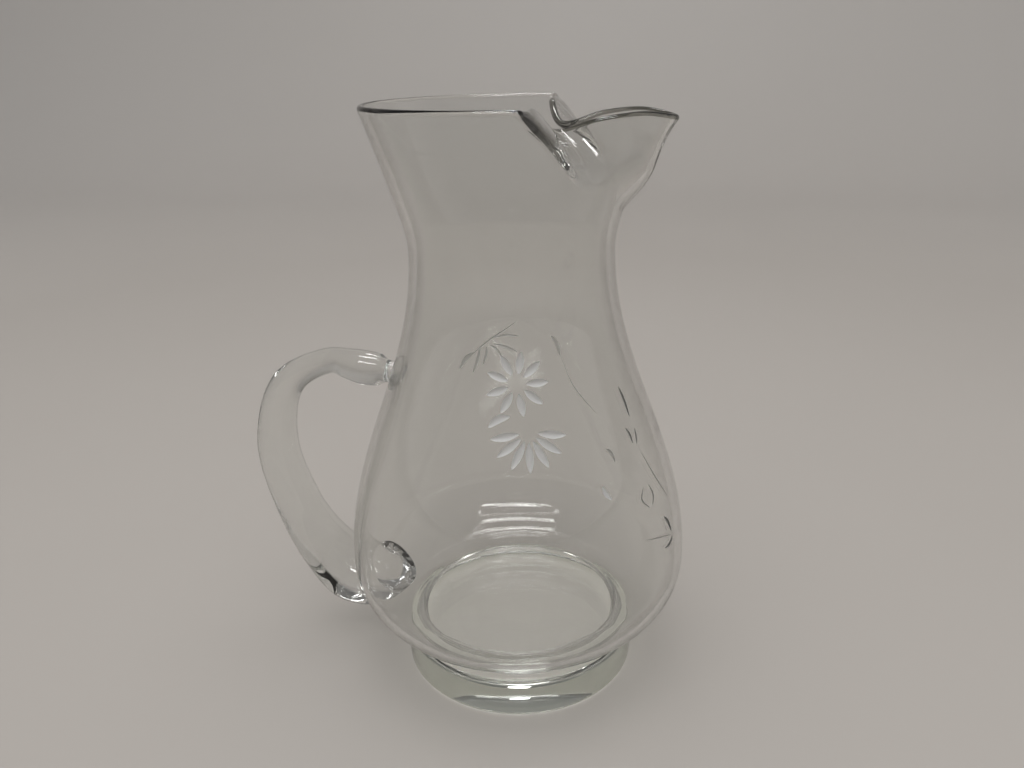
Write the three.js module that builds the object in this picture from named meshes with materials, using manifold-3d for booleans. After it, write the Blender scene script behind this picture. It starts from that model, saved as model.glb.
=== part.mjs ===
// Clear glass pitcher: a blown body with a pinched ice lip, on an applied foot, with an applied handle.
// Millimetres, +Z up. The origin is the centre of the foot's resting face. The lip points along +X.
import * as THREE from 'three';
import { mergeVertices } from 'three/addons/utils/BufferGeometryUtils.js';
import Module from 'manifold-3d';

// Foot: a short solid disc
const FOOT_RADIUS = 51.5;
const FOOT_HEIGHT = 17;
const FOOT_TOP_ROUND = 3;
const FOOT_BOTTOM_ROUND = 1.2;

// Body: heights are measured from its seat on the foot, radii are those of the outside
const BODY_HEIGHT = 222.7;
const RIM_RADIUS = 55.1;
const NECK_HEIGHT = 169.7;
const NECK_RADIUS = 40.3;
const NECK_BEND = 8;
const BELLY_HEIGHT = 35.7;
const BELLY_RADIUS = 72.5;
const STEM_HEIGHT = 8.2;
const STEM_RADIUS = 46;
const STEM_FILLET = 4;
const SEAT_ROUND = 0.8;
const WALL = 2.8;
const FLOOR = 4;
const FLOOR_ROUND = 1.5;

// Ice lip: half of the rim's outline there, from the tip of the lip back to the fold in the rim.
// along and across are plan distances from the body's axis, rise is the height over the plain rim.
const LIP_OVERHANG = 6.7;
const LIP_TIP_RISE = -5.7;
const LIP_CHEEK = { along: 50, across: 13.5, rise: -3.2 };
const LIP_POUCH = { along: 35, across: 20.5, rise: -4.1 };
const LIP_THROAT = { along: 19, across: 18.5, rise: -7 };
const LIP_CREST = { along: 14.2, across: 29, rise: 0 };
const LIP_FOLD = { along: 14.3, across: 46.5, rise: 0 };
const LIP_HALF_ANGLE = 76.5;

// Pocket: the crease that bounds it falls steeply at the sides and gently to the keel, in mm per radian.
// Above the crease the wall bends over towards the pinched rim, and swells into a pouch round the keel.
const POCKET_DEPTH = 38.5;
const POCKET_SIDE_FALL = 60.7;
const POCKET_KEEL_FALL = 14;
const POCKET_CORNER = 1.5;
const POCKET_LEAST = 14;
const POCKET_EDGE = 0.05;
const FOLD_EASE = 12;
const POUCH_HALF_ANGLE = 45;
const POUCH_EASE = 1.5;
const POUCH_RUN = 16;
const POUCH_FALL = 0.28;
const LIP_CURL = 6;
const WALL_REACH = 4.5;

// Handle: one drawn rod, from its upper seat over the crown and down the back to the lower gather.
// out is measured from the body's widest radius, down from the neck and up from the body's seat.
// thick lies in the handle's plane, wide across it.
const UPPER_SEAT = { down: 55.7, thick: 13.2, wide: 14.8 };
const UPPER_NECK = { out: -11.5, down: 54, thick: 14, wide: 15.2 };
const CROWN = { out: 7.5, down: 51, thick: 11.2, wide: 12.8 };
const SHOULDER = { out: 27, down: 61.5, thick: 14, wide: 14.8 };
const BACK = { out: 35.8, down: 90.5, thick: 18, wide: 18.8 };
const TAIL = { out: 29, up: 46.7, thick: 20.4, wide: 22 };
const HEEL = { out: 19.5, up: 27.7, thick: 22.6, wide: 28 };
const GATHER = { out: 6.5, up: 13.7, thick: 26, wide: 34 };
const LOWER_NECK = { out: -6, up: 12.4, thick: 27, wide: 34 };
const LOWER_SEAT = { up: 22.7, thick: 14, wide: 20 };
const SEAT_DEPTH = 8;
const HANDLE_EASE = 0.1;

// Gap left in each seam between two pieces of glass
const SEAM_GAP = 0.3;

// Facets
const LIP_STEPS = 40;
const BACK_STEPS = 28;
const STEM_STEPS = 3;
const BOWL_STEPS = 6;
const SHOULDER_STEPS = 8;
const FLARE_STEPS = 4;
const POCKET_STEPS = 9;
const RIM_STEPS = 4;
const ROUND_STEPS = 4;
const HANDLE_STEPS = 36;
const HANDLE_SIDES = 18;

const RIGHT_ANGLE = Math.PI / 2;
const brimHeight = BODY_HEIGHT - WALL / 2;
const wallSteps = SHOULDER_STEPS + FLARE_STEPS + POCKET_STEPS;
const wasm = await Module();
wasm.setup();

function polar(radius, angle) {
  return new THREE.Vector2(radius * Math.cos(angle), radius * Math.sin(angle));
}

// Points of an arc about a centre, from one angle to another, both ends included
function arc(centre, radius, from, to, steps) {
  const points = [];
  for (let i = 0; i <= steps; i += 1) {
    const angle = THREE.MathUtils.lerp(from, to, i / steps);
    points.push(polar(radius, angle).add(centre));
  }
  return points;
}

// Radius of the outside above the belly: a cosine sweep into the neck, then a hyperbola out to the rim
function outsideRadius(height) {
  if (height < NECK_HEIGHT) {
    const turn = Math.PI * (height - BELLY_HEIGHT) / (NECK_HEIGHT - BELLY_HEIGHT);
    const middle = (BELLY_RADIUS + NECK_RADIUS) / 2;
    return middle + (BELLY_RADIUS - middle) * Math.cos(Math.max(turn, 0));
  }
  const bend = (rise) => Math.hypot(rise, NECK_BEND) - NECK_BEND;
  const flare = bend(height - NECK_HEIGHT) / bend(brimHeight - NECK_HEIGHT);
  return NECK_RADIUS + (RIM_RADIUS - NECK_RADIUS) * flare;
}

// The lip's rim as a curve over the rim circle, from one end of the lip to the other
function makeLipCurve() {
  const start = polar(RIM_RADIUS, THREE.MathUtils.degToRad(LIP_HALF_ANGLE));
  const side = [LIP_CHEEK, LIP_POUCH, LIP_THROAT, LIP_CREST, LIP_FOLD].map(
    (point) => new THREE.Vector3(point.along, point.across, brimHeight + point.rise),
  );
  side.push(new THREE.Vector3(start.x, start.y, brimHeight));
  const tip = new THREE.Vector3(RIM_RADIUS + LIP_OVERHANG, 0, brimHeight + LIP_TIP_RISE);
  const mirrored = side.map((point) => new THREE.Vector3(point.x, -point.y, point.z)).reverse();
  const curve = new THREE.CatmullRomCurve3([...mirrored, tip, ...side]);
  curve.arcLengthDivisions = 800;
  return curve;
}

const lipCurve = makeLipCurve();
const lipHalfAngle = THREE.MathUtils.degToRad(LIP_HALF_ANGLE);
const pouchHalfAngle = THREE.MathUtils.degToRad(POUCH_HALF_ANGLE);

function soften(distance, ease) {
  return Math.hypot(distance, ease) - ease;
}

// Depth of the lip's pocket below the brim at an angle round the axis
function pocketDepth(angle) {
  const side = POCKET_SIDE_FALL * Math.max(lipHalfAngle - Math.abs(angle), 0);
  const keel = POCKET_DEPTH - POCKET_KEEL_FALL * Math.abs(angle);
  return Math.max((side + keel - Math.hypot(side - keel, 2 * POCKET_CORNER)) / 2, POCKET_EDGE);
}

// Outside of the body at an angle round the axis and a height up the plain wall, with the lip drawn in
function outside(angle, height) {
  const plain = polar(outsideRadius(height), angle);
  const point = new THREE.Vector3(plain.x, plain.y, height);
  const place = angle / lipHalfAngle;
  if (Math.abs(place) >= 1) {
    return point;
  }
  const depth = pocketDepth(angle);
  const climb = Math.max(height - brimHeight + depth, 0);
  const share = climb / depth;
  const bend = soften(climb, FOLD_EASE) / soften(depth, FOLD_EASE);
  const run = Math.min(soften(climb, POUCH_EASE) / POUCH_RUN, 1);
  const swell = Math.sin(RIGHT_ANGLE * run) * (1 - POUCH_FALL * share) + POUCH_FALL * share ** LIP_CURL;
  const width = Math.cos(RIGHT_ANGLE * Math.min(Math.abs(angle) / pouchHalfAngle, 1)) ** 2;
  const out = polar(LIP_OVERHANG * width, angle);
  const pouch = new THREE.Vector3(out.x, out.y, 0);
  const rim = polar(RIM_RADIUS, angle);
  const undrawn = new THREE.Vector3(rim.x, rim.y, brimHeight).add(pouch);
  const drawn = lipCurve.getPointAt((place + 1) / 2).sub(undrawn);
  drawn.multiply(new THREE.Vector3(bend, bend, share * share));
  return point.add(drawn).addScaledVector(pouch, swell);
}

// Point of the wall: inset is the depth under the outside, over is the height past the edge of the rim.
// The direction inwards is taken over a short reach, so that the inside stays open in the folds.
function wallPoint(angle, height, inset, over) {
  const top = Math.min(height + WALL_REACH, brimHeight);
  const up = outside(angle, top).sub(outside(angle, top - 2 * WALL_REACH)).normalize();
  const turn = WALL_REACH / RIM_RADIUS;
  const round = outside(angle + turn, height).sub(outside(angle - turn, height));
  const normal = round.cross(up).normalize();
  return outside(angle, height).addScaledVector(normal, -inset).addScaledVector(up, over);
}

// Height of a ring of the wall: even steps to the neck, to the edge of the pocket and to the brim
function ringHeight(angle, step) {
  if (step <= SHOULDER_STEPS) {
    return THREE.MathUtils.lerp(BELLY_HEIGHT, NECK_HEIGHT, step / SHOULDER_STEPS);
  }
  const edge = brimHeight - Math.max(pocketDepth(angle), POCKET_LEAST);
  const crease = Math.max(edge, THREE.MathUtils.lerp(NECK_HEIGHT, brimHeight, 0.1));
  const above = step - SHOULDER_STEPS - FLARE_STEPS;
  if (above <= 0) {
    return THREE.MathUtils.lerp(crease, NECK_HEIGHT, -above / FLARE_STEPS);
  }
  return THREE.MathUtils.lerp(crease, brimHeight, above / POCKET_STEPS);
}

// Skin of the bowl below the belly, from the stem up, grown outwards by a distance
function bowlProfile(grow) {
  const fillet = Math.min(STEM_FILLET, STEM_HEIGHT / 2);
  const width = BELLY_RADIUS - STEM_RADIUS;
  const drop = BELLY_HEIGHT - STEM_HEIGHT;
  const end = Math.acos(fillet / width);
  const corner = new THREE.Vector2(STEM_RADIUS + fillet, BELLY_HEIGHT - drop * Math.sin(end) - fillet);
  const points = arc(corner, fillet - grow, Math.PI, RIGHT_ANGLE, STEM_STEPS);
  for (let i = 1; i < BOWL_STEPS; i += 1) {
    const angle = end * (1 - i / BOWL_STEPS);
    const across = STEM_RADIUS + (width + grow) * Math.cos(angle);
    points.push(new THREE.Vector2(across, BELLY_HEIGHT - (drop + grow) * Math.sin(angle)));
  }
  return points;
}

// Inside of the bowl below the belly, from the belly down to the middle of the floor
function floorProfile() {
  const skin = bowlProfile(-WALL).filter((point) => point.y > FLOOR + FLOOR_ROUND).reverse();
  const edge = skin[skin.length - 1];
  const centre = new THREE.Vector2(edge.x - FLOOR_ROUND, FLOOR + FLOOR_ROUND);
  const heel = arc(centre, FLOOR_ROUND, 0, -RIGHT_ANGLE, ROUND_STEPS / 2);
  return [...skin, ...heel, new THREE.Vector2(0, FLOOR)];
}

// Angles of the body's meridians, closer together across the lip
function meridians() {
  const angles = [];
  for (let i = 0; i < LIP_STEPS; i += 1) {
    angles.push(lipHalfAngle * (2 * i / LIP_STEPS - 1));
  }
  for (let i = 0; i <= BACK_STEPS; i += 1) {
    angles.push(lipHalfAngle + 2 * (Math.PI - lipHalfAngle) * i / BACK_STEPS);
  }
  return angles;
}

// Turns a profile round the body's axis on given meridians; shape places each point of it
function revolve(profile, angles, shape) {
  const geometry = new THREE.LatheGeometry(profile, angles.length - 1);
  const position = geometry.getAttribute('position');
  angles.forEach((angle, i) => {
    profile.forEach((point, j) => {
      const place = shape(angle, point, j);
      position.setXYZ(i * profile.length + j, place.x, place.y, place.z);
    });
  });
  return closeSurface(geometry);
}

function plainShape(angle, point) {
  const place = polar(point.x, angle);
  return new THREE.Vector3(place.x, place.y, point.y);
}

// Joins the shared corners of a surface and drops the triangles that close up to nothing
function closeSurface(geometry) {
  geometry.deleteAttribute('normal');
  geometry.deleteAttribute('uv');
  const merged = mergeVertices(geometry);
  const corners = merged.index.array;
  const kept = [];
  for (let i = 0; i < corners.length; i += 3) {
    const [a, b, c] = corners.subarray(i, i + 3);
    if (a !== b && b !== c && c !== a) {
      kept.push(a, b, c);
    }
  }
  merged.setIndex(kept);
  return merged;
}

function toSolid(geometry) {
  const vertProperties = new Float32Array(geometry.getAttribute('position').array);
  const triVerts = new Uint32Array(geometry.index.array);
  return new wasm.Manifold(new wasm.Mesh({ numProp: 3, vertProperties, triVerts }));
}

function toGeometry(solid) {
  const { vertProperties, triVerts } = solid.getMesh();
  const geometry = new THREE.BufferGeometry();
  geometry.setAttribute('position', new THREE.BufferAttribute(vertProperties, 3));
  geometry.setIndex(new THREE.BufferAttribute(triVerts, 1));
  return geometry;
}

function makeFoot() {
  const low = new THREE.Vector2(FOOT_RADIUS - FOOT_BOTTOM_ROUND, FOOT_BOTTOM_ROUND);
  const high = new THREE.Vector2(FOOT_RADIUS - FOOT_TOP_ROUND, FOOT_HEIGHT - FOOT_TOP_ROUND);
  const profile = [
    new THREE.Vector2(0, 0),
    ...arc(low, FOOT_BOTTOM_ROUND, -RIGHT_ANGLE, 0, ROUND_STEPS),
    ...arc(high, FOOT_TOP_ROUND, 0, RIGHT_ANGLE, ROUND_STEPS),
    new THREE.Vector2(0, FOOT_HEIGHT),
  ];
  return revolve(profile, meridians(), plainShape);
}

function makeBody() {
  const seat = new THREE.Vector2(STEM_RADIUS - SEAT_ROUND, SEAT_ROUND);
  const steps = Array.from({ length: wallSteps + 1 }, (_, step) => step);
  const wall = steps.map((step) => ({ step, inset: 0, over: 0 }));
  for (let i = 1; i < RIM_STEPS; i += 1) {
    const angle = Math.PI * i / RIM_STEPS;
    const inset = WALL / 2 * (1 - Math.cos(angle));
    wall.push({ step: wallSteps, inset, over: WALL / 2 * Math.sin(angle) });
  }
  steps.reverse().forEach((step) => wall.push({ step, inset: WALL, over: 0 }));
  const below = [
    new THREE.Vector2(0, 0),
    ...arc(seat, SEAT_ROUND, -RIGHT_ANGLE, 0, ROUND_STEPS / 2),
    ...bowlProfile(0),
  ];
  const stand = wall.map((ring) => new THREE.Vector2(BELLY_RADIUS - ring.inset, ring.step));
  const profile = [...below, ...stand, ...floorProfile()];
  return revolve(profile, meridians(), (angle, point, j) => {
    const ring = wall[j - below.length];
    const turned = angle > Math.PI ? angle - 2 * Math.PI : angle;
    if (ring === undefined) {
      return plainShape(angle, point);
    }
    return wallPoint(turned, ringHeight(turned, ring.step), ring.inset, ring.over);
  });
}

// The space that the body fills, with the seam's gap round it
function bodyEnvelope() {
  const wall = [];
  for (let step = 0; step <= wallSteps; step += 1) {
    const height = ringHeight(Math.PI, step);
    wall.push(new THREE.Vector2(outsideRadius(height) + SEAM_GAP, height));
  }
  const profile = [
    new THREE.Vector2(0, 0),
    new THREE.Vector2(STEM_RADIUS + SEAM_GAP, 0),
    ...bowlProfile(SEAM_GAP),
    ...wall,
    new THREE.Vector2(0, BODY_HEIGHT),
  ];
  return revolve(profile, meridians(), plainShape);
}

// Closed tube of oval sections along the handle's line, in the plane of the lip
function handleRod() {
  const hung = [UPPER_SEAT, UPPER_NECK, CROWN, SHOULDER, BACK].map(
    (station) => ({ ...station, up: NECK_HEIGHT - station.down }),
  );
  const stations = [...hung, TAIL, HEEL, GATHER, LOWER_NECK, LOWER_SEAT].map(
    (station) => ({ ...station, reach: BELLY_RADIUS + station.out }),
  );
  stations[0].reach = outsideRadius(stations[0].up) - SEAT_DEPTH;
  stations[stations.length - 1].reach = STEM_RADIUS;
  const line = new THREE.CatmullRomCurve3(
    stations.map((station) => new THREE.Vector3(-station.reach, 0, station.up)),
  );
  const section = new THREE.CatmullRomCurve3(
    stations.map((station) => new THREE.Vector3(station.thick / 2, station.wide / 2, 0)),
  );
  const across = new THREE.Vector3(0, 1, 0);
  const corners = [];
  for (let i = 0; i <= HANDLE_STEPS; i += 1) {
    const centre = line.getPoint(i / HANDLE_STEPS);
    const half = section.getPoint(i / HANDLE_STEPS);
    const ahead = line.getPoint(Math.min(i / HANDLE_STEPS + HANDLE_EASE, 1));
    const behind = line.getPoint(Math.max(i / HANDLE_STEPS - HANDLE_EASE, 0));
    const inward = across.clone().cross(ahead.sub(behind)).normalize();
    for (let j = 0; j < HANDLE_SIDES; j += 1) {
      const angle = 2 * Math.PI * j / HANDLE_SIDES;
      const corner = centre.clone().addScaledVector(inward, half.x * Math.cos(angle));
      corners.push(corner.addScaledVector(across, half.y * Math.sin(angle)));
    }
  }
  const faces = [];
  for (let i = 0; i < HANDLE_STEPS; i += 1) {
    for (let j = 0; j < HANDLE_SIDES; j += 1) {
      const here = i * HANDLE_SIDES + j;
      const beside = i * HANDLE_SIDES + (j + 1) % HANDLE_SIDES;
      faces.push(here, beside, here + HANDLE_SIDES);
      faces.push(beside, beside + HANDLE_SIDES, here + HANDLE_SIDES);
    }
  }
  const last = HANDLE_STEPS * HANDLE_SIDES;
  for (let j = 1; j < HANDLE_SIDES - 1; j += 1) {
    faces.push(0, j + 1, j);
    faces.push(last, last + j, last + j + 1);
  }
  const geometry = new THREE.BufferGeometry().setFromPoints(corners);
  geometry.setIndex(faces);
  return geometry;
}

function makeHandle() {
  return toGeometry(toSolid(handleRod()).subtract(toSolid(bodyEnvelope())));
}

function glassMesh(name, geometry, color) {
  const material = new THREE.MeshStandardMaterial({ color, roughness: 0.04, metalness: 0 });
  const mesh = new THREE.Mesh(geometry, material);
  mesh.name = name;
  return mesh;
}

const vessel = new THREE.Group();
vessel.position.z = FOOT_HEIGHT + SEAM_GAP;
vessel.add(glassMesh('body', makeBody(), 0xe4e8e4));
vessel.add(glassMesh('handle', makeHandle(), 0xdbe3dc));

const pitcher = new THREE.Group();
pitcher.add(glassMesh('foot', makeFoot(), 0xc9d6cb));
pitcher.add(vessel);

export default pitcher;
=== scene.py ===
"""Clear glass pitcher: blown body with a pinched ice lip, applied foot and handle, wheel-cut sprays."""

import math

import bmesh
import bpy
import numpy as np
from mathutils import Matrix


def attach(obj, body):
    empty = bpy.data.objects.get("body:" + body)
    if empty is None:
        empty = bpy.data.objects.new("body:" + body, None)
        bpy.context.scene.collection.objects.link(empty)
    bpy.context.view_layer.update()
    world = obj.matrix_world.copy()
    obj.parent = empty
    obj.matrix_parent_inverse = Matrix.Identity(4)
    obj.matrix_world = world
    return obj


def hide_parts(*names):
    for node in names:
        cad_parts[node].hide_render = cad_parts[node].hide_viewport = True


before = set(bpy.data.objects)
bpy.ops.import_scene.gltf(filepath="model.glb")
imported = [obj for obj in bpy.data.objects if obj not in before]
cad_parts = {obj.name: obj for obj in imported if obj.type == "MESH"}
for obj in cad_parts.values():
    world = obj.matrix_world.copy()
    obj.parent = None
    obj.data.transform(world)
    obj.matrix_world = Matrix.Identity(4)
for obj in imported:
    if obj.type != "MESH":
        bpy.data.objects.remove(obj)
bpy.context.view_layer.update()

MM = 0.001

# Foot
FOOT_RADIUS = 51.5
FOOT_HEIGHT = 17.0
FOOT_TOP_ROUND = 3.0
FOOT_BOTTOM_ROUND = 1.2
FOOT_SWELL = 0.15
FOOT_SWELL_SHARE = 0.4
FOOT_UNDER_RINGS = (25.0, 48.0)
FOOT_TOP_RING = 20.0

# Body: heights over its seat, radii of the outside
SEAM_GAP = 0.3
SEAT = FOOT_HEIGHT + SEAM_GAP
BODY_HEIGHT = 222.7
RIM_RADIUS = 55.1
NECK_HEIGHT = 169.7
NECK_RADIUS = 40.3
NECK_BEND = 8.0
BELLY_HEIGHT = 35.7
BELLY_RADIUS = 72.5
STEM_HEIGHT = 8.2
STEM_RADIUS = 46.0
STEM_FILLET = 4.0
WALL = 2.8
FLOOR = 4.0
FLOOR_ROUND = 1.5
FLOOR_RINGS = (30.0, 15.0)
BRIM = BODY_HEIGHT - WALL / 2
WELD_ROUND = 1.0
WELD_DEPTH = 0.8

# Unevenness of the blown wall: depth, waves round the axis and their turn; how far it fades at each end
WALL_WAVES = [(0.12, 2, 0.6), (0.08, 5, 2.1)]
WAVE_FADE_LOW = 30.0
WAVE_FADE_HIGH = 20.0

# Ice lip
LIP_OVERHANG = 6.7
LIP_TIP_RISE = -5.7
# Points of its rim from the tip to the round rim: along, across and rise
LIP_SIDE = [
    (50.0, 13.5, -3.2),
    (35.0, 20.5, -4.1),
    (19.0, 18.5, -7.0),
    (14.2, 29.0, 0.0),
    (14.3, 46.5, 0.0),
]
LIP_HALF_ANGLE = math.radians(76.5)
POCKET_DEPTH = 38.5
POCKET_SIDE_FALL = 60.7
POCKET_KEEL_FALL = 14.0
POCKET_CORNER = 1.5
FOLD_EASE = 12.0
POUCH_EASE = 1.5
POUCH_RUN = 16.0
POUCH_FALL = 0.28
POUCH_HALF_ANGLE = math.radians(45.0)
LIP_CURL = 6
POCKET_LEAST = 14.0
POCKET_SHALLOW = 0.01
WALL_REACH = 4.5

# Handle: stations as distance from the axis, height over the body's seat, thickness and width
HANDLE_STATIONS = [
    (NECK_RADIUS + 3.9, NECK_HEIGHT - 55.7, 8.0, 9.0),
    (NECK_RADIUS + 14.2, NECK_HEIGHT - 54.8, 9.4, 10.4),
    (NECK_RADIUS + 18.0, NECK_HEIGHT - 54.4, 13.8, 14.8),
    (NECK_RADIUS + 24.0, NECK_HEIGHT - 53.6, 14.6, 15.6),
    (BELLY_RADIUS + 0.5, NECK_HEIGHT - 51.8, 12.4, 13.8),
    (BELLY_RADIUS + 7.5, NECK_HEIGHT - 51.0, 11.2, 12.8),
    (BELLY_RADIUS + 27.0, NECK_HEIGHT - 61.5, 14.0, 14.8),
    (BELLY_RADIUS + 35.8, NECK_HEIGHT - 90.5, 18.0, 18.8),
    (BELLY_RADIUS + 29.0, 46.7, 20.4, 22.0),
    (BELLY_RADIUS + 19.5, 27.7, 22.6, 28.0),
    (BELLY_RADIUS + 6.5, 13.7, 26.0, 34.0),
    (BELLY_RADIUS - 6.0, 12.4, 27.0, 34.0),
    (STEM_RADIUS, 22.7, 14.0, 20.0),
]
HANDLE_EASE = 0.1
HANDLE_SINK = WALL / 3

# Wheel cuts: angle round the axis in degrees and height over the table, then the width
STEM_CUTS = [
    ([(-79, 169), (-86, 165.5), (-92, 162.5), (-99, 158), (-106, 152)], 0.7),
    ([(-59, 156), (-55, 145), (-50, 138), (-45, 132)], 0.45),
    ([(-27, 114), (-22, 101), (-16, 89)], 0.6),
    ([(-36, 82), (-28, 79), (-19, 75)], 0.5),
]
LEAF_CUTS = [
    ([(-97, 160), (-98, 155), (-100, 150)], 1.3),
    ([(-91, 163), (-84.5, 164), (-78, 163.5)], 1.0),
    ([(-91, 161), (-85, 160), (-79, 158)], 1.0),
    ([(-92.5, 160.5), (-89, 159), (-86, 155.5)], 1.0),
    ([(-94, 160), (-94, 157), (-95.5, 153)], 1.0),
    ([(-100, 157.5), (-104, 155), (-106.5, 151)], 1.6),
    ([(-63, 163), (-60.5, 160), (-59, 155)], 1.6),
    ([(-29, 139), (-27.5, 133), (-27, 126)], 1.6),
    ([(-32, 124), (-30.5, 121), (-30, 117)], 1.3),
    ([(-26, 122), (-26.5, 119), (-28, 116)], 1.0),
    ([(-45, 120), (-43, 118), (-42, 114)], 1.4),
    ([(-31, 101), (-33.5, 97), (-30, 92)], 0.8),
    ([(-28, 101), (-26.5, 96), (-28.5, 92)], 0.8),
    ([(-23, 85), (-20.5, 81), (-19, 76)], 1.8),
    ([(-26, 73), (-22, 72.5), (-18.5, 74)], 1.5),
]
PETAL_CUTS = [
    ([(-92, 132), (-88, 135), (-83, 136)], 3.0),
    ([(-50, 108), (-49, 105), (-47, 102)], 2.2),
]
# Daisies: centre, petals, first and last direction in degrees, length
FLOWERS = [((-80, 147), 9, 0, 360, 11.5), ((-76, 130.5), 7, 190, 350, 14.0)]
PETAL_START = 3.2
PETAL_WIDTH = 3.0
# Cutters: depth as a share of the width, levels over the wall in millimetres, and the power of their fade
CUT_DEPTH = 0.22
CUT_LEVEL = 0.04
CUT_LIFT = 0.5
CUT_FADE = 0.7
CUT_SECTION = [
    (-1, CUT_LIFT),
    (1, CUT_LIFT),
    (1, CUT_LEVEL),
    (0.5, -0.75),
    (0, -1),
    (-0.5, -0.75),
    (-1, CUT_LEVEL),
]
SLOPE_STEP = 0.1

# Mesh density
CUT_STEPS = 6
PETAL_POINTS = 3
LIP_STEPS = 80
LIP_COLUMNS = 180
BACK_COLUMNS = 112
SHOULDER_ROWS = 52
FLARE_ROWS = 14
POCKET_ROWS = 44
BOWL_ROWS = 28
ROUND_ROWS = 8
HANDLE_ROWS = 24
HANDLE_SIDES = 64
PLAIN_COLUMNS = (90, 102)
ENVELOPE_ROWS = 90

# Order of the materials on the fused glass
BODY, FOOT, HANDLE, LEAF, PETAL, PAINTED_RIM = range(6)
GROUND = (LEAF, PETAL)


def catmull(points, steps):
    """Centripetal curve through points, with even steps in each span."""
    points = np.asarray(points, float)
    points = np.vstack([2 * points[0] - points[1], points, 2 * points[-1] - points[-2]])
    curve = []
    for i in range(1, len(points) - 2):
        p0, p1, p2, p3 = points[i - 1 : i + 3]
        a, b, c = (np.linalg.norm(q - p) ** 0.5 for p, q in ((p0, p1), (p1, p2), (p2, p3)))
        m1 = b * ((p1 - p0) / a - (p2 - p0) / (a + b) + (p2 - p1) / b)
        m2 = b * ((p2 - p1) / b - (p3 - p1) / (b + c) + (p3 - p2) / c)
        u = np.linspace(0, 1, steps, endpoint=False)[:, None]
        rise = u * u * (3 - 2 * u)
        curve.append((1 - rise) * p1 + u * (1 - u) ** 2 * m1 + rise * p2 - u * u * (1 - u) * m2)
    curve.append(points[-2][None])
    return np.vstack(curve)


def arc(centre, radius, start, end, steps):
    angle = np.linspace(start, end, steps + 1)
    return np.stack([centre[0] + radius * np.cos(angle), centre[1] + radius * np.sin(angle)], -1)


def outside_radius(height):
    turn = np.pi * np.clip((height - BELLY_HEIGHT) / (NECK_HEIGHT - BELLY_HEIGHT), 0, 1)
    middle = (BELLY_RADIUS + NECK_RADIUS) / 2
    sweep = middle + (BELLY_RADIUS - middle) * np.cos(turn)

    def bend(rise):
        return np.hypot(rise, NECK_BEND) - NECK_BEND

    flare = bend(height - NECK_HEIGHT) / bend(BRIM - NECK_HEIGHT)
    return np.where(height < NECK_HEIGHT, sweep, NECK_RADIUS + (RIM_RADIUS - NECK_RADIUS) * flare)


def lip_curve():
    """The lip's rim and the share of its length at each point."""
    side = [(along, across, BRIM + rise) for along, across, rise in LIP_SIDE]
    side.append((RIM_RADIUS * math.cos(LIP_HALF_ANGLE), RIM_RADIUS * math.sin(LIP_HALF_ANGLE), BRIM))
    tip = (RIM_RADIUS + LIP_OVERHANG, 0, BRIM + LIP_TIP_RISE)
    other = [(x, -y, z) for x, y, z in reversed(side)]
    curve = catmull(other + [tip] + side, LIP_STEPS)
    length = np.concatenate([[0], np.cumsum(np.linalg.norm(np.diff(curve, axis=0), axis=1))])
    return curve, length / length[-1]


LIP_CURVE, LIP_SHARE = lip_curve()


def pocket_depth(angle):
    """Depth of the pocket's crease under the brim: steep at the sides, a shallow keel in the middle."""
    side = POCKET_SIDE_FALL * np.maximum(LIP_HALF_ANGLE - np.abs(angle), 0)
    keel = POCKET_DEPTH - POCKET_KEEL_FALL * np.abs(angle)
    return np.maximum((side + keel - np.hypot(side - keel, 2 * POCKET_CORNER)) / 2, 0)


def outside(angle, height):
    """Outside of the wall at angles round the axis and heights up the plain wall, in millimetres."""
    angle, height = np.broadcast_arrays(angle, height)
    radius = outside_radius(height)
    point = np.stack([radius * np.cos(angle), radius * np.sin(angle), height], -1)
    place = angle / LIP_HALF_ANGLE
    in_lip = np.abs(place) < 1
    depth = np.where(in_lip, np.maximum(pocket_depth(angle), POCKET_SHALLOW), 1)
    climb = np.maximum(height - BRIM + depth, 0)
    bend = (np.hypot(climb, FOLD_EASE) - FOLD_EASE) / (np.hypot(depth, FOLD_EASE) - FOLD_EASE)
    share = climb / depth
    run = np.minimum((np.hypot(climb, POUCH_EASE) - POUCH_EASE) / POUCH_RUN, 1)
    swell = np.sin(np.pi / 2 * run) * (1 - POUCH_FALL * share) + POUCH_FALL * share**LIP_CURL
    width = np.cos(np.pi / 2 * np.minimum(np.abs(angle) / POUCH_HALF_ANGLE, 1)) ** 2
    along = np.clip((place + 1) / 2, 0, 1)
    rim = np.stack([np.interp(along, LIP_SHARE, LIP_CURVE[:, k]) for k in range(3)], -1)
    level = np.full(angle.shape, BRIM)
    plain = np.stack([RIM_RADIUS * np.cos(angle), RIM_RADIUS * np.sin(angle), level], -1)
    out = LIP_OVERHANG * width[..., None] * np.stack([np.cos(angle), np.sin(angle), 0 * angle], -1)
    drawn = (rim - plain - out) * np.stack([bend, bend, share * share], -1)
    shift = out * swell[..., None] + drawn
    return np.where(in_lip[..., None], point + shift, point)


def unit(vectors):
    return vectors / np.linalg.norm(vectors, axis=-1, keepdims=True)


def wall_point(angle, height, inset, over=0.0):
    """Point at a depth under the outside and a height past the brim."""
    top = np.minimum(height + WALL_REACH, BRIM)
    up = unit(outside(angle, top) - outside(angle, top - 2 * WALL_REACH))
    turn = WALL_REACH / RIM_RADIUS
    around = outside(angle + turn, height) - outside(angle - turn, height)
    normal = unit(np.cross(around, up))
    return outside(angle, height) - np.asarray(inset)[..., None] * normal + over * up


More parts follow.
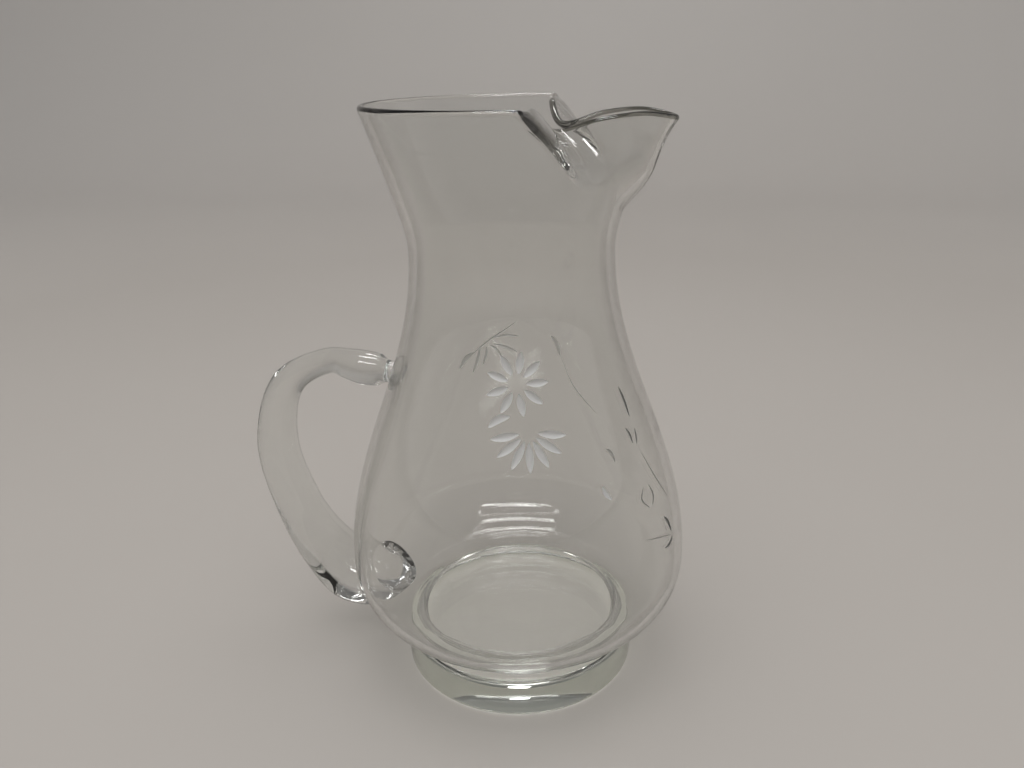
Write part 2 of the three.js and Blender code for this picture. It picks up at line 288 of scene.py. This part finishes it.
def ring_heights(angle):
    """Heights of the wall's rings from the belly to the brim, with one ring on the edge of the pocket."""
    crease = BRIM - np.maximum(pocket_depth(angle), POCKET_LEAST)
    rings = [np.full(angle.shape, h) for h in np.linspace(BELLY_HEIGHT, NECK_HEIGHT, SHOULDER_ROWS + 1)]
    rings += [NECK_HEIGHT + (crease - NECK_HEIGHT) * t for t in np.linspace(0, 1, FLARE_ROWS + 1)[1:]]
    rings += [crease + (BRIM - crease) * t for t in np.linspace(0, 1, POCKET_ROWS + 1)[1:]]
    return rings


def bowl_profile(grow):
    """Skin of the bowl below the belly, from the stem up, grown outwards by a distance."""
    width = BELLY_RADIUS - STEM_RADIUS
    drop = BELLY_HEIGHT - STEM_HEIGHT
    end = math.acos(STEM_FILLET / width)
    corner = (STEM_RADIUS + STEM_FILLET, BELLY_HEIGHT - drop * math.sin(end) - STEM_FILLET)
    turn = arc(corner, STEM_FILLET - grow, math.pi, math.pi / 2, ROUND_ROWS)
    angle = end * (1 - np.arange(1, BOWL_ROWS) / BOWL_ROWS)
    across = STEM_RADIUS + (width + grow) * np.cos(angle)
    return np.vstack([turn, np.stack([across, BELLY_HEIGHT - (drop + grow) * np.sin(angle)], -1)])


def floor_profile():
    skin = bowl_profile(-WALL)
    skin = skin[skin[:, 1] > FLOOR + FLOOR_ROUND][::-1]
    heel = arc((skin[-1, 0] - FLOOR_ROUND, FLOOR + FLOOR_ROUND), FLOOR_ROUND, 0, -math.pi / 2, ROUND_ROWS)
    return np.vstack([skin, heel, [(radius, FLOOR) for radius in (*FLOOR_RINGS, 0.0)]])


def meridians(lip_columns, back_columns):
    lip = LIP_HALF_ANGLE * (2 * np.arange(lip_columns) / lip_columns - 1)
    back = LIP_HALF_ANGLE + 2 * (math.pi - LIP_HALF_ANGLE) * np.arange(back_columns) / back_columns
    return np.concatenate([lip, back])


def turn_profile(profile, angles):
    """Rings of a profile turned round the axis; a point on the axis stays one point."""
    rings = []
    for radius, height in profile:
        if radius == 0:
            rings.append(np.array([[0.0, 0.0, height]]))
        else:
            level = np.full(angles.shape, height)
            rings.append(np.stack([radius * np.cos(angles), radius * np.sin(angles), level], -1))
    return rings


def solid_from_rings(name, rings, lift, index):
    """Closed mesh through rings of points; a ring of one point, or a fan, closes each end."""
    points = np.vstack(rings) * MM
    points[:, 2] += lift * MM
    starts = np.concatenate([[0], np.cumsum([len(ring) for ring in rings])])
    faces = []
    for i in range(len(rings) - 1):
        low, high = starts[i], starts[i + 1]
        count = max(len(rings[i]), len(rings[i + 1]))
        for j in range(count):
            k = (j + 1) % count
            if len(rings[i]) == 1:
                faces.append((low, high + k, high + j))
            elif len(rings[i + 1]) == 1:
                faces.append((low + j, low + k, high))
            else:
                faces.append((low + j, low + k, high + k, high + j))
    if len(rings[0]) > 1:
        faces.append(tuple(reversed(range(starts[0], starts[1]))))
        faces.append(tuple(range(starts[-2], starts[-1])))
    mesh = bpy.data.meshes.new(name)
    mesh.from_pydata(points.tolist(), [], [tuple(int(v) for v in face) for face in faces])
    mesh.validate()
    for material in MATERIALS:
        mesh.materials.append(material)
    mesh.polygons.foreach_set("material_index", [index] * len(mesh.polygons))
    piece = bpy.data.objects.new(name, mesh)
    bpy.context.scene.collection.objects.link(piece)
    return piece


def body_solid():
    angles = meridians(LIP_COLUMNS, BACK_COLUMNS)
    turned = np.where(angles > math.pi, angles - 2 * math.pi, angles)
    base = -SEAM_GAP - WELD_DEPTH
    weld_centre = (STEM_RADIUS + WELD_ROUND, WELD_ROUND - SEAM_GAP)
    weld = arc(weld_centre, WELD_ROUND, -math.pi / 2, -math.pi, ROUND_ROWS)
    bottom = [(radius, base) for radius in (0.0, STEM_RADIUS, STEM_RADIUS + WELD_ROUND)]
    below = np.vstack([bottom, weld, bowl_profile(0)])
    rings = turn_profile(below, angles)
    heights = ring_heights(turned)
    uneven = sum(depth * np.sin(waves * turned + turn) for depth, waves, turn in WALL_WAVES)
    rings += [outside(turned, h) for h in heights]
    brim_row = len(rings) - 1
    for angle in np.linspace(0, math.pi, ROUND_ROWS + 1)[1:-1]:
        inset = WALL / 2 * (1 - math.cos(angle)) * np.ones(turned.shape)
        rings.append(wall_point(turned, heights[-1], inset, WALL / 2 * math.sin(angle)))
    for h in reversed(heights):
        low = np.clip((h - BELLY_HEIGHT) / WAVE_FADE_LOW, 0, 1)
        high = np.clip((BRIM - h) / WAVE_FADE_HIGH, 0, 1)
        rings.append(wall_point(turned, h, WALL + uneven * low * high))
    rings += turn_profile(floor_profile(), angles)
    solid = solid_from_rings("body_solid", rings, SEAT, BODY)
    # The lip's rounded brim takes the rim material, tinted dark as painted shade
    for row in range(brim_row, brim_row + ROUND_ROWS):
        for column in range(LIP_COLUMNS):
            solid.data.polygons[row * len(angles) + column].material_index = PAINTED_RIM
    return solid


def foot_solid():
    low = (FOOT_RADIUS - FOOT_BOTTOM_ROUND, FOOT_BOTTOM_ROUND)
    high = (FOOT_RADIUS - FOOT_TOP_ROUND, FOOT_HEIGHT - FOOT_TOP_ROUND)
    profile = np.vstack([
        [(radius, 0.0) for radius in (0.0, *FOOT_UNDER_RINGS)],
        arc(low, FOOT_BOTTOM_ROUND, -math.pi / 2, 0, ROUND_ROWS),
        [(FOOT_RADIUS + FOOT_SWELL, FOOT_SWELL_SHARE * FOOT_HEIGHT)],
        arc(high, FOOT_TOP_ROUND, 0, math.pi / 2, ROUND_ROWS),
        [(FOOT_TOP_RING, FOOT_HEIGHT), (0.0, FOOT_HEIGHT)],
    ])
    return solid_from_rings("foot_solid", turn_profile(profile, meridians(*PLAIN_COLUMNS)), 0, FOOT)


def envelope_solid(grow):
    """The space inside the body's outside, used to end the handle inside the wall."""
    heights = np.linspace(BELLY_HEIGHT, BRIM, ENVELOPE_ROWS)
    wall = np.stack([outside_radius(heights) + grow, heights], -1)
    bottom = [(0.0, 0.0), (STEM_RADIUS + grow, 0.0)]
    profile = np.vstack([bottom, bowl_profile(grow), wall, [(0.0, BRIM)]])
    return solid_from_rings("envelope", turn_profile(profile, meridians(*PLAIN_COLUMNS)), SEAT, HANDLE)


def handle_solid():
    stations = np.array(HANDLE_STATIONS)
    line = catmull(stations[:, :2] * (-1, 1), HANDLE_ROWS)
    section = catmull(stations[:, 2:] / 2, HANDLE_ROWS)
    reach = round(HANDLE_EASE * (len(line) - 1))
    last = len(line) - 1
    angle = 2 * math.pi * np.arange(HANDLE_SIDES) / HANDLE_SIDES
    rings = []
    for i, (centre, half) in enumerate(zip(line, section)):
        ahead = line[min(i + reach, last)] - line[max(i - reach, 0)]
        inward = np.array([ahead[1], -ahead[0]]) / np.hypot(*ahead)
        side = half[0] * np.cos(angle)
        rings.append(np.stack([
            centre[0] + inward[0] * side,
            half[1] * np.sin(angle),
            centre[1] + inward[1] * side,
        ], -1))
    return solid_from_rings("handle_solid", rings, SEAT, HANDLE)


def groove(path, width):
    """Rings of a cutter for a rounded groove along a path on the wall, fading out at both ends."""
    line = catmull(path, CUT_STEPS)
    angle = np.radians(line[:, 0])
    height = line[:, 1] - SEAT
    radius = outside_radius(height)
    ahead = np.gradient(np.stack([angle * radius.mean(), height], -1), axis=0)
    across = unit(np.stack([-ahead[:, 1], ahead[:, 0]], -1))
    fade = np.sin(np.pi * np.linspace(0, 1, len(line))) ** CUT_FADE
    rings = []
    for i in range(len(line)):
        if i in (0, len(line) - 1):
            rings.append(lifted(angle[i : i + 1], height[i : i + 1], CUT_LEVEL))
            continue
        half = width / 2 * fade[i]
        ring = []
        for side, lift in CUT_SECTION:
            turn = angle[i] + side * half * across[i, 0] / radius[i]
            rise = height[i] + side * half * across[i, 1]
            sink = lift * CUT_DEPTH * width * fade[i] if lift < 0 else lift
            ring.append(lifted(turn, rise, sink))
        rings.append(np.array(ring))
    return rings


def lifted(angle, height, lift):
    """Point on the plain wall, moved along its normal."""
    rise = outside_radius(height + SLOPE_STEP) - outside_radius(height - SLOPE_STEP)
    slope = rise / (2 * SLOPE_STEP)
    normal = unit(np.stack([np.cos(angle), np.sin(angle), -slope + 0 * angle], -1))
    return outside(angle, height) + lift * normal


def petals(centre, count, start, end, length):
    """Paths of the petals of a cut daisy, or of a half one, round its centre."""
    radius = float(outside_radius(centre[1] - SEAT))
    whole = end - start == 360
    paths = []
    for i in range(count):
        turn = math.radians(start + (end - start) * i / (count if whole else count - 1))
        reach = np.linspace(PETAL_START, length, PETAL_POINTS)
        around = centre[0] + np.degrees(reach * math.cos(turn) / radius)
        paths.append(np.stack([around, centre[1] + reach * math.sin(turn)], -1))
    return paths


def cutters(grooves, index):
    """One mesh with the cutters of many grooves."""
    mesh = bmesh.new()
    for path, width in grooves:
        single = solid_from_rings("groove", groove(path, width), SEAT, index)
        mesh.from_mesh(single.data)
        bpy.data.meshes.remove(single.data)
    bmesh.ops.recalc_face_normals(mesh, faces=mesh.faces)
    data = bpy.data.meshes.new("cutters")
    mesh.to_mesh(data)
    mesh.free()
    for material in MATERIALS:
        data.materials.append(material)
    piece = bpy.data.objects.new("cutters", data)
    bpy.context.scene.collection.objects.link(piece)
    return piece


def combine(target, other, operation):
    """Applies an exact boolean to the target and removes the other mesh."""
    modifier = target.modifiers.new("combine", "BOOLEAN")
    modifier.operation = operation
    modifier.solver = "EXACT"
    modifier.material_mode = "INDEX"
    modifier.object = other
    shape = target.evaluated_get(bpy.context.evaluated_depsgraph_get())
    mesh = bpy.data.meshes.new_from_object(shape)
    target.modifiers.clear()
    old = target.data
    target.data = mesh
    bpy.data.meshes.remove(old)
    bpy.data.meshes.remove(other.data)


def split_off(source, name, indices):
    """A piece with the faces of the source that have given materials."""
    mesh = bmesh.new()
    mesh.from_mesh(source.data)
    others = [face for face in mesh.faces if face.material_index not in indices]
    bmesh.ops.delete(mesh, geom=others, context="FACES")
    for face in mesh.faces:
        face.smooth = True
        face.material_index = indices.index(face.material_index)
    for edge in mesh.edges:
        if len(edge.link_faces) == 2:
            first, second = edge.link_faces
            ground = [indices[face.material_index] in GROUND for face in (first, second)]
            edge.smooth = ground[0] == ground[1]
    data = bpy.data.meshes.new(name)
    mesh.to_mesh(data)
    mesh.free()
    for index in indices:
        data.materials.append(MATERIALS[index])
    piece = bpy.data.objects.new(name, data)
    bpy.context.scene.collection.objects.link(piece)
    return piece


def add(tree, kind, **sockets):
    node = tree.nodes.new(kind)
    for name, value in sockets.items():
        node.inputs[name.replace("_", " ")].default_value = value
    return node


def blend(tree, factor, first, second):
    """Mix of two colours, each of them given or the output of a node."""
    mix = tree.nodes.new("ShaderNodeMix")
    mix.data_type = "RGBA"
    tree.links.new(factor, mix.inputs["Factor"])
    for name, value in (("A", first), ("B", second)):
        if isinstance(value, tuple):
            mix.inputs[name].default_value = (*value, 1)
        else:
            tree.links.new(value, mix.inputs[name])
    return mix.outputs["Result"]


def noise(tree, place, scale, detail):
    texture = add(tree, "ShaderNodeTexNoise", Scale=scale, Detail=detail)
    tree.links.new(place.outputs["Object"], texture.inputs["Vector"])
    return texture.outputs["Fac"]


def spread(tree, value, **limits):
    """Value mapped from one range to another, 0 to 1 where no limits are given."""
    node = add(tree, "ShaderNodeMapRange", **limits)
    tree.links.new(value, node.inputs["Value"])
    return node.outputs["Result"]


def relief(tree, height, shader, strength, distance):
    bump = add(tree, "ShaderNodeBump", Strength=strength, Distance=distance)
    tree.links.new(height, bump.inputs["Height"])
    tree.links.new(bump.outputs["Normal"], shader.inputs["Normal"])


def distance_from(tree, vector):
    length = tree.nodes.new("ShaderNodeVectorMath")
    length.operation = "LENGTH"
    tree.links.new(vector, length.inputs[0])
    return length.outputs["Value"]


def new_material(name):
    material = bpy.data.materials.new(name)
    material.use_nodes = True
    tree = material.node_tree
    return material, tree, tree.nodes["Principled BSDF"], tree.nodes.new("ShaderNodeTexCoord")


GLASS_IOR = 1.51


def glass(name, tint, shade, side=None, gather=1.0):
    """Clear glass: faint drift of tint, painted grey shade along its edges, a polished skin with faint
    wipe marks, slow waves of hand work.
    """
    material, tree, shader, place = new_material(name)
    shader.inputs["IOR"].default_value = GLASS_IOR
    shader.inputs["Transmission Weight"].default_value = 1.0
    colour = blend(tree, noise(tree, place, 14.0, 2.0), tint, shade)
    if side:
        colour = deepen(tree, place, colour, side)
    # Painted shade: grey mixed into the colour where the surface is seen edge-on
    paint_edge_shade(tree, colour, shader)
    wipe = noise(tree, place, 60.0, 4.0)
    rough = spread(tree, wipe, From_Min=0.45, From_Max=0.8, To_Min=0.0, To_Max=0.05)
    tree.links.new(rough, shader.inputs["Roughness"])
    relief(tree, noise(tree, place, 22.0, 1.0), shader, 0.25, 0.001)
    let_lamps_through(tree, shader, gather)
    return material


def paint_edge_shade(tree, colour, shader):
    """Painted shade: grey bands where the surface is seen edge-on, standing in for the dark refractions
    and reflections along the glass's edges.
    """
    facing = add(tree, "ShaderNodeLayerWeight", Blend=0.5)
    painted_shade = spread(tree, facing.outputs["Facing"], From_Min=0.62, From_Max=0.92)
    tree.links.new(blend(tree, painted_shade, colour, EDGE_PAINTED_SHADE), shader.inputs["Base Color"])


def deepen(tree, place, colour, side):
    """Deeper tint on the foot's side wall, where one looks through the whole width of the glass."""
    flat = tree.nodes.new("ShaderNodeVectorMath")
    flat.operation = "MULTIPLY"
    flat.inputs[1].default_value = (1, 1, 0)
    tree.links.new(place.outputs["Object"], flat.inputs[0])
    reach = distance_from(tree, flat.outputs["Vector"])
    edge = spread(tree, reach, From_Min=STEM_RADIUS * MM, From_Max=FOOT_RADIUS * MM)
    return blend(tree, edge, colour, side)


def let_lamps_through(tree, shader, gather):
    """Light that falls through the glass: clear where it meets a face squarely, dimmer along its edges.

    A thick piece gathers light below it like a lens.
    """
    path = tree.nodes.new("ShaderNodeLightPath")
    edge = add(tree, "ShaderNodeLayerWeight", Blend=0.35)
    clear = tree.nodes.new("ShaderNodeBsdfTransparent")
    dim = blend(tree, edge.outputs["Facing"], (gather, gather, gather), SHADOW_EDGE)
    tree.links.new(dim, clear.inputs["Color"])
    mix = tree.nodes.new("ShaderNodeMixShader")
    tree.links.new(path.outputs["Is Shadow Ray"], mix.inputs["Fac"])
    tree.links.new(shader.outputs["BSDF"], mix.inputs[1])
    tree.links.new(clear.outputs["BSDF"], mix.inputs[2])
    tree.links.new(mix.outputs["Shader"], tree.nodes["Material Output"].inputs["Surface"])


def cut_ground(name, clear, dark, pale):
    """Grey ground surface that a cutting wheel leaves in glass."""
    material, tree, shader, place = new_material(name)
    shader.inputs["IOR"].default_value = GLASS_IOR
    shader.inputs["Transmission Weight"].default_value = clear
    grain = noise(tree, place, 2500.0, 3.0)
    tree.links.new(spread(tree, grain, To_Min=0.35, To_Max=0.6), shader.inputs["Roughness"])
    tree.links.new(blend(tree, grain, dark, pale), shader.inputs["Base Color"])
    relief(tree, grain, shader, 0.5, 0.00005)
    let_lamps_through(tree, shader, 1.0)
    return material


# Painted shade: grey mixed into the glass colour along its edges
EDGE_PAINTED_SHADE = (0.36, 0.36, 0.34)
SHADOW_EDGE = (0.76, 0.77, 0.75)
MATERIALS = [
    glass("body_glass", (0.943, 0.945, 0.935), (0.913, 0.917, 0.905)),
    glass("foot_glass", (0.975, 0.98, 0.965), (0.95, 0.96, 0.94), (0.86, 0.90, 0.83), gather=1.65),
    glass("handle_glass", (0.915, 0.92, 0.905), (0.88, 0.89, 0.875)),
    # Partly painted shade: ground glass is grey, and the leaves' grey is made darker to stand in for the
    # dim light their narrow cuts refract
    cut_ground("leaf_cut_and_shade", 0.9, (0.44, 0.45, 0.44), (0.60, 0.61, 0.60)),
    cut_ground("petal_cut", 0.5, (0.70, 0.71, 0.715), (0.80, 0.81, 0.815)),
    # Painted shade: the lip's brim is tinted near black, standing in for the dim room that its rounded
    # edge reflects
    glass("rim_painted_shade", (0.17, 0.17, 0.15), (0.13, 0.13, 0.115)),
]

body = body_solid()
flowers = [(path, PETAL_WIDTH) for flower in FLOWERS for path in petals(*flower)]
combine(body, cutters(STEM_CUTS, LEAF), "DIFFERENCE")
combine(body, cutters(LEAF_CUTS, LEAF), "DIFFERENCE")
combine(body, cutters(PETAL_CUTS + flowers, PETAL), "DIFFERENCE")
handle = handle_solid()
combine(handle, envelope_solid(-HANDLE_SINK), "DIFFERENCE")
combine(body, handle, "UNION")
combine(body, foot_solid(), "UNION")
pieces = {
    "body": split_off(body, "pitcher_body", [BODY, LEAF, PETAL, PAINTED_RIM]),
    "foot": split_off(body, "pitcher_foot", [FOOT]),
    "handle": split_off(body, "pitcher_handle", [HANDLE]),
}
bpy.data.meshes.remove(body.data)
for node, piece in pieces.items():
    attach(piece, "root")
    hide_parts(node)


# Stage, in metres
FLOOR_GAP = 0.0004
FLOOR_COLOURS = (0.43, 0.40, 0.37), (0.455, 0.425, 0.395)
FLOOR_FAR_COLOUR = (0.66, 0.635, 0.61)
FLOOR_NEAR = 0.8
FLOOR_FAR = 2.6
SWEEP_SIDE = 40.0
SWEEP_FRONT = 40.0
SWEEP_START = 1.2
SWEEP_ROUND = 0.8
SWEEP_TOP = 1.6
SWEEP_STEPS = 24
ROOM_LIGHT = (0.21, 0.205, 0.20)
ROOM_WALL = (0.385, 0.37, 0.355)
ROOM_DIM = (0.13, 0.13, 0.13)
DIM_SIDE = (0, -0.5, 1)
DIM_START = 0.1
DIM_END = 0.5
PANEL_PLACE = (0, -0.4, 2.1)
PANEL_SIDE = 2.4
PANEL_LEVEL = 2.65
TUBE_HEIGHT = 1.9
# Tubes: place across and along, and length
TUBES = [(0.25, -0.95, 1.5), (-0.06, 0.36, 0.7), (-0.21, 1.42, 0.25)]
TUBE_WIDTH = 0.2
TUBE_LEVEL = 20.0

# Camera: turn round the object, then aim, in degrees; place in millimetres, focal length in pixels
CAMERA_TURN = 9.0
CAMERA_AIM = (-0.19, 21.86, -1.32)
CAMERA_DISTANCE = 322.1
CAMERA_HEIGHT = 257.5
CAMERA_FOCAL = 832.5
PICTURE_WIDTH = 1024
SENSOR_WIDTH = 36.0
CAMERA_NEAR = 0.01


def floor_material():
    material, tree, shader, place = new_material("floor")
    shader.inputs["Roughness"].default_value = 0.6
    colour = blend(tree, noise(tree, place, 3.0, 3.0), *FLOOR_COLOURS)
    reach = distance_from(tree, place.outputs["Object"])
    rise = spread(tree, reach, From_Min=FLOOR_NEAR, From_Max=FLOOR_FAR)
    tree.links.new(blend(tree, rise, colour, FLOOR_FAR_COLOUR), shader.inputs["Base Color"])
    return material


def make_floor():
    """Floor that sweeps up into a wall far behind."""
    bend = arc((SWEEP_START, SWEEP_ROUND), SWEEP_ROUND, -math.pi / 2, 0, SWEEP_STEPS).tolist()
    profile = [(-SWEEP_FRONT, 0.0), *bend, (SWEEP_START + SWEEP_ROUND, SWEEP_TOP)]
    points = [(x, y, z - FLOOR_GAP) for y, z in profile for x in (-SWEEP_SIDE, SWEEP_SIDE)]
    faces = [(2 * i, 2 * i + 1, 2 * i + 3, 2 * i + 2) for i in range(len(profile) - 1)]
    mesh = bpy.data.meshes.new("floor")
    mesh.from_pydata(points, [], faces)
    mesh.polygons.foreach_set("use_smooth", [True] * len(faces))
    mesh.materials.append(floor_material())
    floor = bpy.data.objects.new("floor", mesh)
    bpy.context.scene.collection.objects.link(floor)


def clamped(tree, operation, first, second):
    """Sum or difference of two values, held between 0 and 1."""
    node = tree.nodes.new("ShaderNodeMath")
    node.operation = operation
    node.use_clamp = True
    tree.links.new(first, node.inputs[0])
    tree.links.new(second, node.inputs[1])
    return node.outputs["Value"]


def make_world():
    """Even soft light; in the glass itself the room shows pale ahead and dim overhead and behind."""
    world = bpy.data.worlds.new("studio")
    bpy.context.scene.world = world
    world.use_nodes = True
    tree = world.node_tree
    place = tree.nodes.new("ShaderNodeTexCoord")
    lean = tree.nodes.new("ShaderNodeVectorMath")
    lean.operation = "DOT_PRODUCT"
    lean.inputs[1].default_value = DIM_SIDE
    tree.links.new(place.outputs["Generated"], lean.inputs[0])
    ramp = tree.nodes.new("ShaderNodeValToRGB")
    low, high = ramp.color_ramp.elements
    low.position = DIM_START
    low.color = (*ROOM_WALL, 1)
    high.position = DIM_END
    high.color = (*ROOM_DIM, 1)
    tree.links.new(lean.outputs["Value"], ramp.inputs["Fac"])
    path = tree.nodes.new("ShaderNodeLightPath")
    shiny = clamped(tree, "ADD", path.outputs["Is Glossy Ray"], path.outputs["Is Transmission Ray"])
    direct = clamped(tree, "SUBTRACT", shiny, path.outputs["Diffuse Depth"])
    seen = blend(tree, path.outputs["Is Camera Ray"], ROOM_LIGHT, ROOM_WALL)
    light = blend(tree, direct, seen, ramp.outputs["Color"])
    tree.links.new(light, tree.nodes["Background"].inputs["Color"])


def make_lamp(name, place, length, width, level):
    """Flat lamp of a given brightness under the ceiling."""
    light = bpy.data.lights.new(name, "AREA")
    light.shape = "RECTANGLE"
    light.size = length
    light.size_y = width
    light.energy = math.pi * level * length * width
    lamp = bpy.data.objects.new(name, light)
    lamp.location = place
    bpy.context.scene.collection.objects.link(lamp)
    return lamp


def make_lamps():
    """A wide soft panel lights the scene, and three bare tubes shine in the glass alone."""
    panel = make_lamp("panel", PANEL_PLACE, PANEL_SIDE, PANEL_SIDE, PANEL_LEVEL)
    panel.visible_glossy = False
    panel.visible_transmission = False
    for i, (x, y, length) in enumerate(TUBES):
        tube = make_lamp(f"tube_{i}", (x, y, TUBE_HEIGHT), length, TUBE_WIDTH, TUBE_LEVEL)
        tube.visible_diffuse = False


def make_camera():
    """The photograph's camera, solved from the rim, the foot and the outline."""
    yaw, pitch, roll = (math.radians(angle) for angle in CAMERA_AIM)
    ahead = np.array([math.sin(yaw), math.cos(yaw), 0.0])
    forward = math.cos(pitch) * ahead - np.array([0.0, 0.0, math.sin(pitch)])
    right = np.array([math.cos(yaw), -math.sin(yaw), 0.0])
    up = np.cross(right, forward)
    axes = np.stack([
        math.cos(roll) * right + math.sin(roll) * up,
        math.cos(roll) * up - math.sin(roll) * right,
        -forward,
    ], 1)
    around = np.array(Matrix.Rotation(math.radians(CAMERA_TURN), 3, "Z"))
    place = np.eye(4)
    place[:3, :3] = around @ axes
    place[:3, 3] = around @ np.array([0, -CAMERA_DISTANCE, CAMERA_HEIGHT]) * MM
    lens = bpy.data.cameras.new("camera")
    lens.sensor_fit = "HORIZONTAL"
    lens.sensor_width = SENSOR_WIDTH
    lens.lens = CAMERA_FOCAL / PICTURE_WIDTH * SENSOR_WIDTH
    lens.clip_start = CAMERA_NEAR
    camera = bpy.data.objects.new("camera", lens)
    camera.matrix_world = Matrix(place.tolist())
    bpy.context.scene.collection.objects.link(camera)
    bpy.context.scene.camera = camera


make_floor()
make_world()
make_lamps()
make_camera()
bpy.context.scene.view_settings.view_transform = "Standard"
cycles = bpy.context.scene.cycles
cycles.max_bounces = 32
cycles.transmission_bounces = 32
cycles.glossy_bounces = 16
cycles.caustics_refractive = False
cycles.caustics_reflective = False
